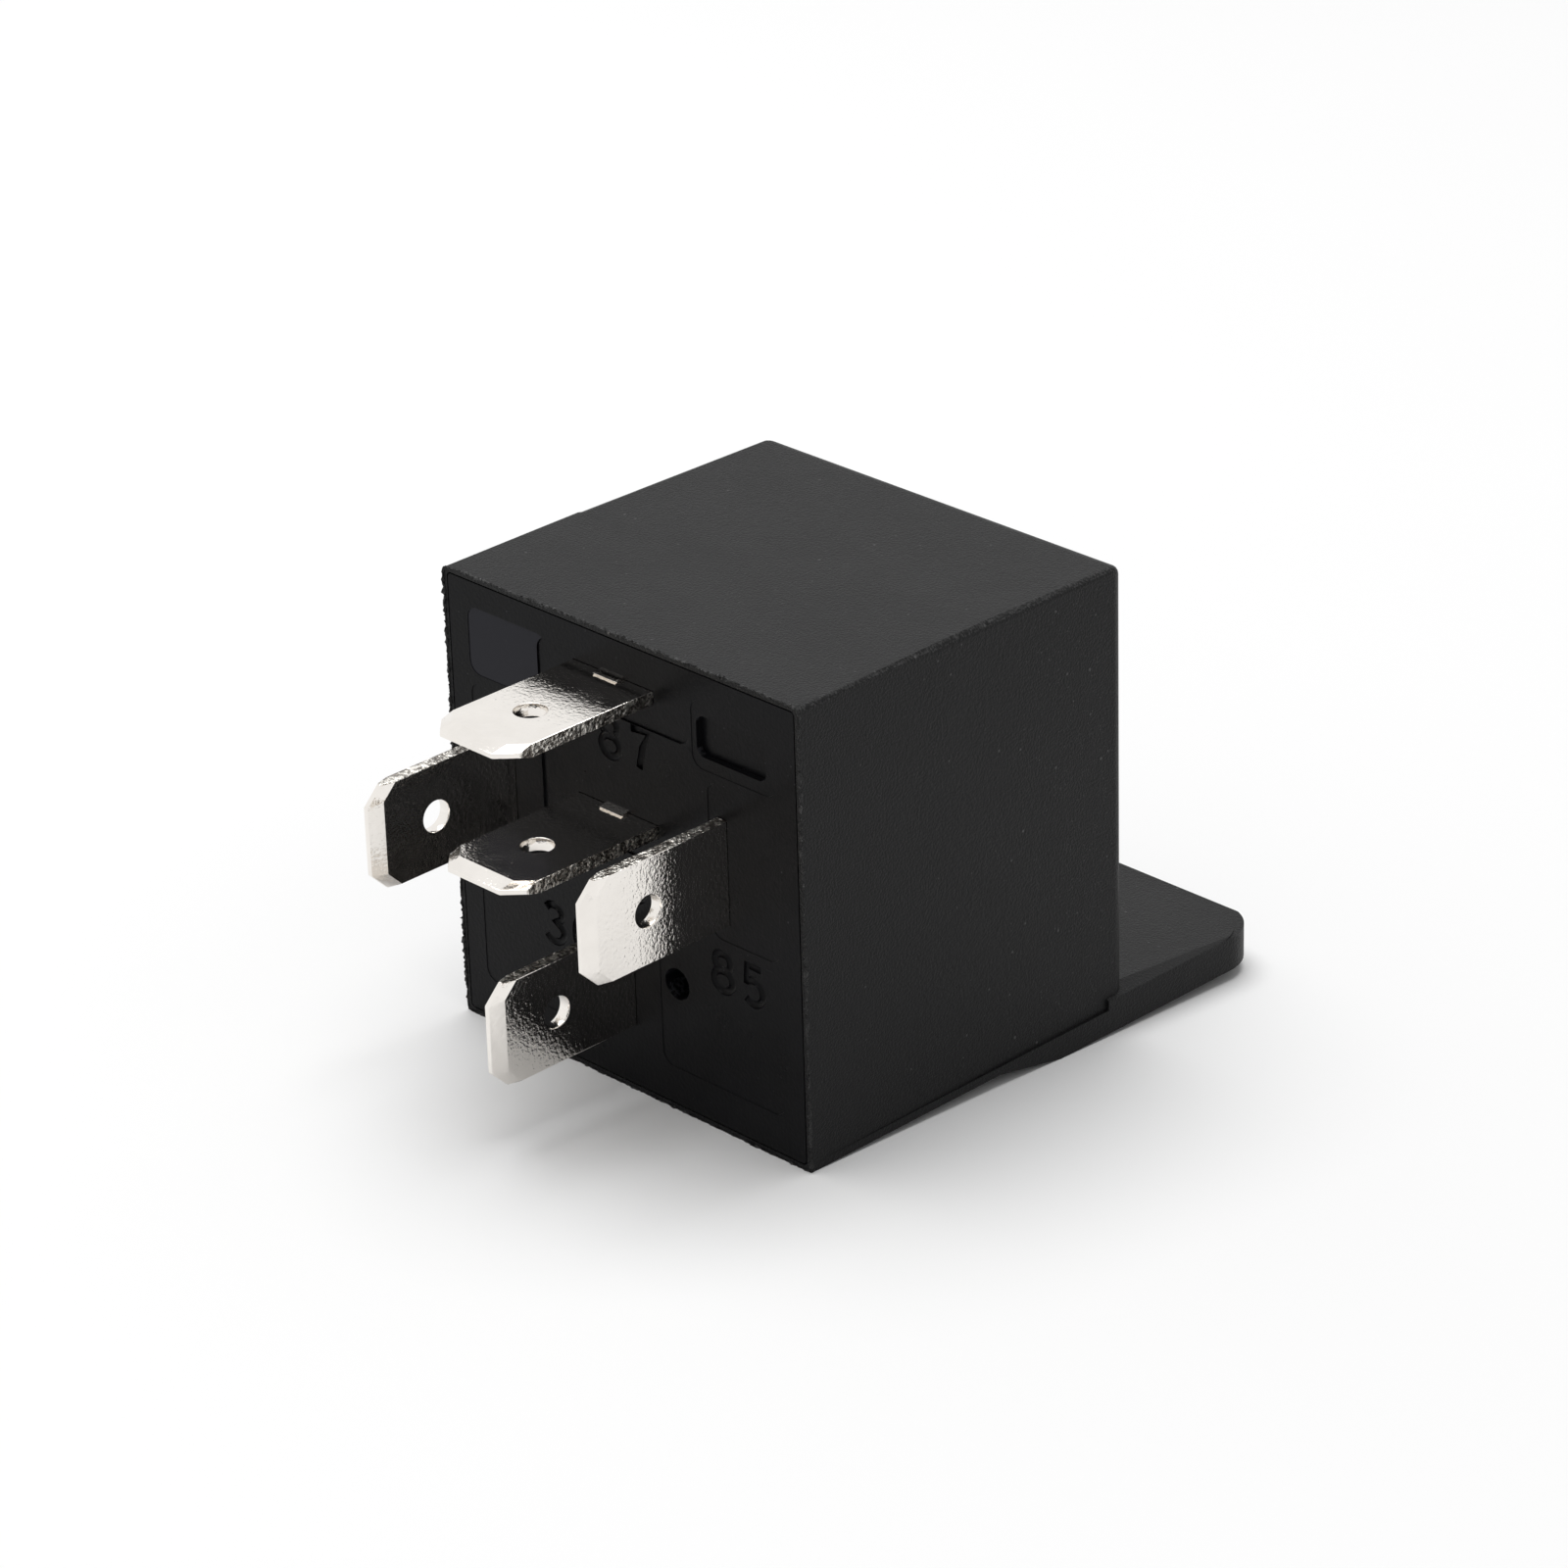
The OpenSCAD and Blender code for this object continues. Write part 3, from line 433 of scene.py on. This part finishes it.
def plain_metal(name, dark, light, rough, stretch, lines_per_metre, coat=0.0):
    """Rolled or drawn metal with lines along the strip and faint stains."""
    made = Finish(name, Metallic=1.0, Coat_Weight=coat)
    kit = made.kit
    stain = made.use(GRAIN, Grain_per_metre=1500.0, Blotch_per_metre=400.0)
    lines = made.use(LINES, Stretch=stretch, Lines_per_metre=lines_per_metre)
    tone = kit.mix_colour(stain["Blotch"], colour(*dark), colour(*light))
    made.set("Base Color", kit.mix_colour(kit.math("MULTIPLY", lines["Mask"], 0.3), tone, colour(*dark)))
    made.set("Roughness", kit.mix_value(stain["Blotch"], rough, rough + 0.15))
    made.bump(kit.math("ADD", lines["Height"], kit.math("MULTIPLY", stain["Height"], 0.4)), 0.01, 0.3)
    return made.material


def nylon():
    """Natural glass-filled nylon of the bobbin."""
    made = Finish("natural_nylon", Specular_IOR_Level=0.45)
    kit = made.kit
    skin = made.use(GRAIN, Grain_per_metre=3000.0, Blotch_per_metre=250.0)
    fibres = made.use(LINES, Stretch=(1.0, 1.0, 0.1), Lines_per_metre=2500.0)
    tone = kit.mix_colour(skin["Blotch"], colour(0.62, 0.58, 0.44), colour(0.74, 0.70, 0.56))
    pale = kit.math("MULTIPLY", fibres["Mask"], 0.25)
    made.set("Base Color", kit.mix_colour(pale, tone, colour(0.85, 0.82, 0.7)))
    made.set("Roughness", kit.mix_value(skin["Blotch"], 0.42, 0.6))
    made.bump(skin["Height"], 0.02, 0.4)
    return made.material


COVER_PLASTIC = moulded_plastic("cover_plastic", (0.003, 0.003, 0.0032), (0.0042, 0.0042, 0.0044),
                                0.46, 0.50, 0.16, 6800.0, 0.15, 0.3, (0.14, 0.14, 0.14))
BASE_PLASTIC = moulded_plastic("base_plastic", (0.0022, 0.0022, 0.0026), (0.0032, 0.0032, 0.004),
                               0.27, 0.34, 0.08, 4200.0, 0.03, 0.07, (0.09, 0.09, 0.10))
# The flash's lighter tone and pale specks are partly its own paler torn plastic and partly painted glints
# along the mouth.
TORN_PLASTIC = moulded_plastic("torn_flash", (0.002, 0.002, 0.002), (0.02, 0.02, 0.02),
                               0.3, 0.45, 0.2, 3000.0, 0.12, 0.3, (0.5, 0.5, 0.5))
TIN = tin_plate()
STEEL = plain_metal("zinc_steel", (0.42, 0.43, 0.45), (0.62, 0.62, 0.63), 0.28, (1.0, 0.05, 1.0), 4000.0)
COPPER = plain_metal("enamelled_copper", (0.48, 0.13, 0.035), (0.68, 0.24, 0.07),
                     0.18, (1.0, 1.0, 0.3), 900.0, 0.6)
BRONZE = plain_metal("spring_bronze", (0.50, 0.30, 0.12), (0.72, 0.48, 0.22),
                     0.22, (1.0, 0.2, 0.04), 5000.0)
SILVER = plain_metal("contact_silver", (0.70, 0.68, 0.64), (0.90, 0.89, 0.87), 0.2, (1.0, 1.0, 1.0), 3500.0)
NYLON = nylon()


# ------------------------------------------------------------------ outside pieces

def mark_faces(piece, name, chosen):
    """Face attribute that is 1 on the faces for which chosen(face) is true."""
    layer = piece.data.attributes.new(name, "FLOAT", "FACE")
    for face in piece.data.polygons:
        layer.data[face.index].value = 1.0 if chosen(face) else 0.0


def on_soft_edge(width):
    """Test for the narrow faces that round a long edge above the bracket."""
    limit = (width * MM) ** 2 * 400

    def test(face):
        normal = face.normal
        level = max(abs(normal.x), abs(normal.y), abs(normal.z))
        along = abs(normal.y) < 0.2 and face.center.z > 4 * MM
        return level < 0.97 and along and face.area < limit

    return test


def round_closed_end(bm):
    """Sets the closed end a little further out, and rounds the sharp edges at its two upper corners."""
    for corner in bm.verts:
        if END_FROM * MM < corner.co.y < END_TO * MM:
            corner.co.y += END_SET_OUT * MM

    def outer(corner):
        return abs(corner.co.x) > 13.1 * MM and corner.co.z > 27.1 * MM and corner.co.y > 10 * MM

    long_edges = [edge for edge in bm.edges
                  if edge.calc_face_angle(0.0) > SHARP_TURN and all(outer(corner) for corner in edge.verts)]
    bmesh.ops.bevel(bm, geom=long_edges, offset=CORNER_ROUND * MM, segments=3, profile=0.5, affect="EDGES",
                    clamp_overlap=False)


def make_cover():
    """Housing whose long edges get a paler tone, partly wear and partly painted highlight."""
    cover = finished_copy("cover", "cover_shell", EDGE_WIDTHS["cover"], eased=round_closed_end)
    # Its edge faces get the paler tone: partly wear, partly painted highlight.
    mark_faces(cover, "edge", on_soft_edge(EDGE_WIDTHS["cover"]))
    smooth_by_angle(cover)
    dress(cover, COVER_PLASTIC, "housing")
    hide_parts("cover")


def arc(x, z, wide, high, start, end, steps=10):
    """Points on part of an ellipse, in the digit's own box from 0 to 1."""
    points = []
    for step in range(steps + 1):
        turn = math.radians(start + (end - start) * step / steps)
        points.append((x + wide * math.cos(turn), z + high * math.sin(turn)))
    return points


# Strokes of each digit in a box from 0 to 1; the second value says that the stroke is a closed ring
DIGITS = {
    "0": [(arc(0.5, 0.5, 0.5, 0.5, 0, 345, 22), True)],
    "3": [([(0.02, 0.86)] + arc(0.45, 0.77, 0.46, 0.23, 130, -90) + arc(0.45, 0.27, 0.53, 0.27, 90, -140)
           + [(0.0, 0.13)], False)],
    "5": [([(0.9, 1.0), (0.14, 1.0), (0.07, 0.56)] + arc(0.46, 0.32, 0.52, 0.32, 130, -140), False)],
    "6": [(arc(0.5, 0.31, 0.48, 0.31, 0, 340, 18), True),
          (arc(0.88, 0.31, 0.86, 0.69, 100, 180, 8), False)],
    "7": [([(0.03, 1.0), (0.97, 1.0), (0.62, 0.55), (0.42, 0.0)], False)],
    "8": [(arc(0.5, 0.765, 0.42, 0.235, 0, 340, 18), True),
          (arc(0.5, 0.275, 0.5, 0.275, 0, 340, 18), True)],
    "a": [(arc(0.45, 0.3, 0.42, 0.3, 0, 340, 18), True), ([(0.88, 0.6), (0.88, 0.0)], False)],
}


def number_solids():
    """Round strokes of the numbers, which cut shallow grooves into the base."""
    half = NUMBER_STROKE / 2
    radius = (half * half + NUMBER_DEPTH * NUMBER_DEPTH) / (2 * NUMBER_DEPTH)
    wide, high = NUMBER_WIDTH - NUMBER_STROKE, NUMBER_HEIGHT - NUMBER_STROKE
    data = bpy.data.curves.new("number_strokes", "CURVE")
    data.dimensions = "3D"
    data.bevel_depth = radius * MM
    data.bevel_resolution = 8
    data.use_fill_caps = True
    for text, middle, foot, depth in NUMBERS:
        left = middle - (len(text) - 1) * NUMBER_STEP / 2 - wide / 2
        for place, digit in enumerate(text):
            for points, closed in DIGITS[digit]:
                stroke = data.splines.new("POLY")
                stroke.points.add(len(points) - 1)
                stroke.use_cyclic_u = closed
                for corner, (x, z) in zip(stroke.points, points):
                    spot = point(left + place * NUMBER_STEP + x * wide, depth + NUMBER_DEPTH - radius,
                                 foot + half + z * high)
                    corner.co = (*spot, 1.0)
    return apply_modifiers(add_object("number_strokes", data))


def on_smooth_panel(face):
    """Test for the smooth face of the upper left panel, which gets a lower roughness and a painted sheen.
    """
    x, y, z = face.center / MM
    return face.normal.y < -0.9 and 0.02 < y < 0.1 and x < -5 and z > 22


def make_base():
    """Base with its numbers and with softened panels, sunk only a little below the outer face."""

    def ease(bm):
        for corner in bm.verts:
            for made, shown in EASED_DEPTHS:
                if abs(corner.co.y - made * MM) < 0.004 * MM and abs(corner.co.x) < 12.2 * MM:
                    corner.co.y = shown * MM
                    break

    base = finished_copy("base", "base_plate", EDGE_WIDTHS["base"], eased=ease)
    numbers = number_solids()
    carve = base.modifiers.new("numbers", "BOOLEAN")
    carve.operation = "DIFFERENCE"
    carve.solver = "EXACT"
    carve.use_self = True
    carve.object = numbers
    apply_modifiers(base)
    bpy.data.objects.remove(numbers)
    # Edge faces get the paler tone: partly wear, partly painted highlight.
    mark_faces(base, "edge", on_soft_edge(EDGE_WIDTHS["base"]))
    # The smooth panel gets a lower roughness and a lighter tone that is painted sheen.
    mark_faces(base, "polish_and_sheen", on_smooth_panel)
    smooth_by_angle(base)
    dress(base, BASE_PLASTIC, "housing")
    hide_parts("base")


def make_blade(node, flat_axis):
    """Terminal with rounded edges; its two sheared long edges are marked for the coarser finish."""

    def lower_lance(bm):
        if flat_axis != 2:
            return
        face_z = max(corner.co.z for corner in bm.verts if corner.co.y < -5 * MM)
        for corner in bm.verts:
            if abs(corner.co.y + LANCE_REACH * MM) < 0.01 * MM and corner.co.z > face_z + 0.1 * MM:
                corner.co.z = face_z + LANCE_FRONT * MM
                corner.co.y -= LANCE_RUN * MM

    blade = finished_copy(node, "blade_" + node.split("_")[1], EDGE_WIDTHS["blade"], eased=lower_lance)
    across = 2 if flat_axis == 0 else 0
    outer = [corner.co[across] for corner in blade.data.vertices if corner.co.y < -0.5 * MM]
    low, high = min(outer), max(outer)

    def sheared(face):
        near = min(face.center[across] - low, high - face.center[across]) < 0.25 * MM
        outside = min(blade.data.vertices[index].co.y for index in face.vertices) < -1 * MM
        return near and outside and abs(face.normal[flat_axis]) < 0.8

    mark_faces(blade, "cut", sheared)
    smooth_by_angle(blade)
    dress(blade, TIN, "housing")
    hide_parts(node)


def rim_tree():
    """Thread of moulding flash along a path: its thickness wanders, and each ring is moved a little."""
    tree = bpy.data.node_groups.new("rim_flash", "GeometryNodeTree")
    face = tree.interface
    face.new_socket("Geometry", in_out="INPUT", socket_type="NodeSocketGeometry")
    for label, kind, value in (("Step", FLOAT, 0.0001), ("Thickness", FLOAT, 0.00008),
                               ("Wander", FLOAT, 0.00006), ("Seed", "NodeSocketInt", 7),
                               ("Material", "NodeSocketMaterial", None)):
        socket = face.new_socket(label, in_out="INPUT", socket_type=kind)
        if value is not None:
            socket.default_value = value
    face.new_socket("Geometry", in_out="OUTPUT", socket_type="NodeSocketGeometry")
    kit = Nodes(tree)
    given = kit.add("NodeGroupInput").outputs
    path = kit.add("GeometryNodeMeshToCurve")
    even = kit.add("GeometryNodeResampleCurve", mode="LENGTH")
    kit.join(given["Geometry"], path.inputs["Mesh"])
    kit.join(path.outputs["Curve"], even.inputs["Curve"])
    kit.join(given["Step"], even.inputs["Length"])
    place = kit.add("GeometryNodeInputPosition").outputs[0]
    slow = kit.noise(place, 900.0, 2.0, 0.6)
    chance = kit.add("FunctionNodeRandomValue", data_type="FLOAT")
    chance.inputs["Min"].default_value = 0.3
    chance.inputs["Max"].default_value = 1.0
    kit.join(given["Seed"], chance.inputs["Seed"])
    swell = kit.math("MULTIPLY", kit.ramp(slow, 0.38, 0.62), chance.outputs["Value"])
    ring = kit.add("GeometryNodeCurvePrimitiveCircle")
    ring.inputs["Resolution"].default_value = 5
    kit.join(given["Thickness"], ring.inputs["Radius"])
    thread = kit.add("GeometryNodeCurveToMesh")
    thread.inputs["Fill Caps"].default_value = True
    kit.join(even.outputs["Curve"], thread.inputs["Curve"])
    kit.join(ring.outputs["Curve"], thread.inputs["Profile Curve"])
    kit.join(kit.math("ADD", swell, 0.15), thread.inputs["Scale"])
    shake = kit.add("FunctionNodeRandomValue", data_type="FLOAT_VECTOR")
    shake.inputs["Min"].default_value = (-1.0, -1.0, -1.0)
    shake.inputs["Max"].default_value = (1.0, 1.0, 1.0)
    kit.join(given["Seed"], shake.inputs["Seed"])
    scale = kit.add("ShaderNodeVectorMath", operation="SCALE")
    kit.join(shake.outputs["Value"], scale.inputs[0])
    kit.join(given["Wander"], scale.inputs["Scale"])
    move = kit.add("GeometryNodeSetPosition")
    kit.join(thread.outputs["Mesh"], move.inputs["Geometry"])
    kit.join(scale.outputs["Vector"], move.inputs["Offset"])
    real = kit.add("GeometryNodeRealizeInstances")
    paint = kit.add("GeometryNodeSetMaterial")
    kit.join(move.outputs["Geometry"], real.inputs[0])
    kit.join(real.outputs[0], paint.inputs["Geometry"])
    kit.join(given["Material"], paint.inputs["Material"])
    kit.join(paint.outputs[0], kit.add("NodeGroupOutput").inputs[0])
    return tree


def grow(name, source, tree, values):
    """Runs a node tree on a source object with values by socket name, and returns the plain mesh."""
    made = source.modifiers.new("grown", "NODES")
    made.node_group = tree
    for socket in tree.interface.items_tree:
        if socket.item_type == "SOCKET" and socket.in_out == "INPUT" and socket.name in values:
            made[socket.identifier] = values[socket.name]
    apply_modifiers(source)
    source.name = name
    source.data.name = name
    return source


def rim_path(bm):
    """Outer edge of the cover's mouth."""
    half, top, radius = HOUSING_HALF * MM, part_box("cover")[1].z, RIM_RADIUS * MM
    corners = [(half - radius, top - radius, 0), (radius - half, top - radius, 90),
               (radius - half, radius, 180), (half - radius, radius, 270)]
    ring = []
    for x, z, start in corners:
        for step in range(5):
            turn = math.radians(start + 22.5 * step)
            ring.append(bm.verts.new((x + radius * math.cos(turn), 0.0, z + radius * math.sin(turn))))
    for first, second in zip(ring, ring[1:] + ring[:1]):
        bm.edges.new((first, second))


def make_rim_flash():
    """Torn thread of plastic that the mould left round the cover's mouth; its pale specks are partly
    painted glints.
    """
    flash = grow("rim_flash", mesh_from(rim_path, "rim_flash", recalculate=False), rim_tree(),
                 {"Step": 0.00014, "Thickness": 0.00013, "Wander": 0.00006, "Seed": 11,
                  "Material": TORN_PLASTIC})
    for face in flash.data.polygons:
        face.use_smooth = False
    dress(flash, TORN_PLASTIC, "housing")


make_cover()
make_base()
for upright in ("terminal_30", "terminal_85", "terminal_86"):
    make_blade(upright, 0)
for flat in ("terminal_87", "terminal_87a"):
    make_blade(flat, 2)
make_rim_flash()


# ------------------------------------------------------------------ inside pieces

INSIDE = {
    "yoke": STEEL, "core": STEEL, "armature": STEEL,
    "yoke_rivet_1": STEEL, "yoke_rivet_2": STEEL, "armature_rivet_1": STEEL, "armature_rivet_2": STEEL,
    "bobbin": NYLON, "coil_lead_85": COPPER, "coil_lead_86": COPPER,
    "moving_contact": SILVER, "contact_no": SILVER, "contact_nc": SILVER,
}
for node, material in INSIDE.items():
    nodes[node].data.materials.clear()
    nodes[node].data.materials.append(material)


def coil_tree():
    """Wire laid in one helix over the inner layers of the coil, along the Y axis."""
    tree = bpy.data.node_groups.new("wound_wire", "GeometryNodeTree")
    face = tree.interface
    face.new_socket("Geometry", in_out="INPUT", socket_type="NodeSocketGeometry")
    for label, kind in (("Turns", FLOAT), ("Coil radius", FLOAT), ("Wire radius", FLOAT), ("Length", FLOAT),
                        ("Middle", VECTOR), ("Material", "NodeSocketMaterial")):
        face.new_socket(label, in_out="INPUT", socket_type=kind)
    face.new_socket("Geometry", in_out="OUTPUT", socket_type="NodeSocketGeometry")
    kit = Nodes(tree)
    given = kit.add("NodeGroupInput").outputs
    helix = kit.add("GeometryNodeCurveSpiral")
    helix.inputs["Resolution"].default_value = 48
    kit.join(given["Turns"], helix.inputs["Rotations"])
    kit.join(given["Coil radius"], helix.inputs["Start Radius"])
    kit.join(given["Coil radius"], helix.inputs["End Radius"])
    kit.join(given["Length"], helix.inputs["Height"])
    ring = kit.add("GeometryNodeCurvePrimitiveCircle")
    ring.inputs["Resolution"].default_value = 8
    kit.join(given["Wire radius"], ring.inputs["Radius"])
    wire = kit.add("GeometryNodeCurveToMesh")
    wire.inputs["Fill Caps"].default_value = True
    kit.join(helix.outputs["Curve"], wire.inputs["Curve"])
    kit.join(ring.outputs["Curve"], wire.inputs["Profile Curve"])
    turn = kit.add("GeometryNodeTransform")
    turn.inputs["Rotation"].default_value = (-math.pi / 2, 0.0, 0.0)
    kit.join(wire.outputs["Mesh"], turn.inputs["Geometry"])
    kit.join(given["Middle"], turn.inputs["Translation"])
    both = kit.add("GeometryNodeJoinGeometry")
    kit.join(given["Geometry"], both.inputs[0])
    kit.join(turn.outputs["Geometry"], both.inputs[0])
    real = kit.add("GeometryNodeRealizeInstances")
    paint = kit.add("GeometryNodeSetMaterial")
    kit.join(both.outputs[0], real.inputs[0])
    kit.join(real.outputs[0], paint.inputs["Geometry"])
    kit.join(given["Material"], paint.inputs["Material"])
    kit.join(paint.outputs[0], kit.add("NodeGroupOutput").inputs[0])
    return tree


def make_winding():
    """Inner layers as a plain sleeve, with the outer layer wound over it as one wire."""
    low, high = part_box("coil_winding")
    wire = WIRE_RADIUS * MM
    middle = (low + high) / 2
    outer = (high.x - low.x) / 2 - wire
    inner = SLEEVE_INNER * MM

    def sleeve(bm):
        count = SLEEVE_SIDES
        rings = []
        for radius, y in ((inner, low.y), (outer, low.y), (outer, high.y), (inner, high.y)):
            rings.append([bm.verts.new((middle.x + radius * math.cos(2 * math.pi * k / count), y,
                                        middle.z + radius * math.sin(2 * math.pi * k / count)))
                          for k in range(count)])
        for first, second in zip(rings, rings[1:] + rings[:1]):
            for k in range(count):
                bm.faces.new((first[k], first[(k + 1) % count], second[(k + 1) % count], second[k]))

    length = high.y - low.y - 2 * wire
    turns = length / (2 * wire)
    start = (middle.x, low.y + wire, middle.z)
    winding = grow("wire_winding", mesh_from(sleeve, "wire_winding"), coil_tree(),
                   {"Turns": turns, "Coil radius": outer, "Wire radius": wire, "Length": length,
                    "Middle": start, "Material": COPPER})
    for face in winding.data.polygons:
        face.use_smooth = True
    dress(winding, COPPER, "housing")
    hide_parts("coil_winding")


def make_spring():
    """Leaf spring, copied in its CAD shape over the hinge between the yoke and the armature."""
    spring = finished_copy("contact_spring", "leaf_spring", EDGE_WIDTHS["spring"])
    smooth_by_angle(spring)
    spring.data.materials.clear()
    spring.data.materials.append(BRONZE)
    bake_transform(spring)
    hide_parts("contact_spring")


make_winding()
make_spring()


# ------------------------------------------------------------------ stage

def make_floor():
    """Plain pale floor on which the base's lower edge and the bracket rest."""
    half = FLOOR_SIZE / 2

    def draw(bm):
        corners = [(-half, -half), (half, -half), (half, half), (-half, half)]
        bm.faces.new([bm.verts.new((x, y, -FLOOR_TILT * y)) for x, y in corners])

    floor = mesh_from(draw, "floor", recalculate=False)
    made = Finish("floor_white", Roughness=0.9, Specular_IOR_Level=0.1)
    kit = made.kit
    tone = made.use(GRAIN, Grain_per_metre=600.0, Blotch_per_metre=3.0)
    made.set("Base Color", kit.mix_colour(tone["Blotch"], colour(0.90), colour(0.915)))
    floor.data.materials.append(made.material)


def make_world():
    """White surroundings that light the object plainly."""
    world = bpy.data.worlds.new("studio")
    bpy.context.scene.world = world
    world.use_nodes = True
    kit = Nodes(world.node_tree)
    rays = kit.add("ShaderNodeLightPath").outputs
    seen = kit.math("MAXIMUM", rays["Is Camera Ray"],
                    kit.math("MAXIMUM", rays["Is Glossy Ray"], rays["Is Transmission Ray"]))
    sky = world.node_tree.nodes["Background"]
    sky.inputs["Color"].default_value = colour(1.0)
    kit.join(kit.mix_value(seen, 0.40, 1.0), sky.inputs["Strength"])


def make_light(name, place, target, size, power):
    """Round soft light that points from its place to its target."""
    data = bpy.data.lights.new(name, "AREA")
    data.shape = "DISK"
    data.size = size
    data.energy = power
    lamp = bpy.data.objects.new(name, data)
    bpy.context.scene.collection.objects.link(lamp)
    aim = Vector(target) - Vector(place)
    turn = aim.to_track_quat("-Z", "Y").to_matrix().to_4x4()
    lamp.matrix_world = Matrix.Translation(Vector(place)) @ turn


make_floor()
make_world()
make_light("soft_box", (-0.12, 0.04, 0.8), (0, 0.01, 0.01), 0.8, 5.8)

bpy.context.scene.view_settings.view_transform = "Standard"
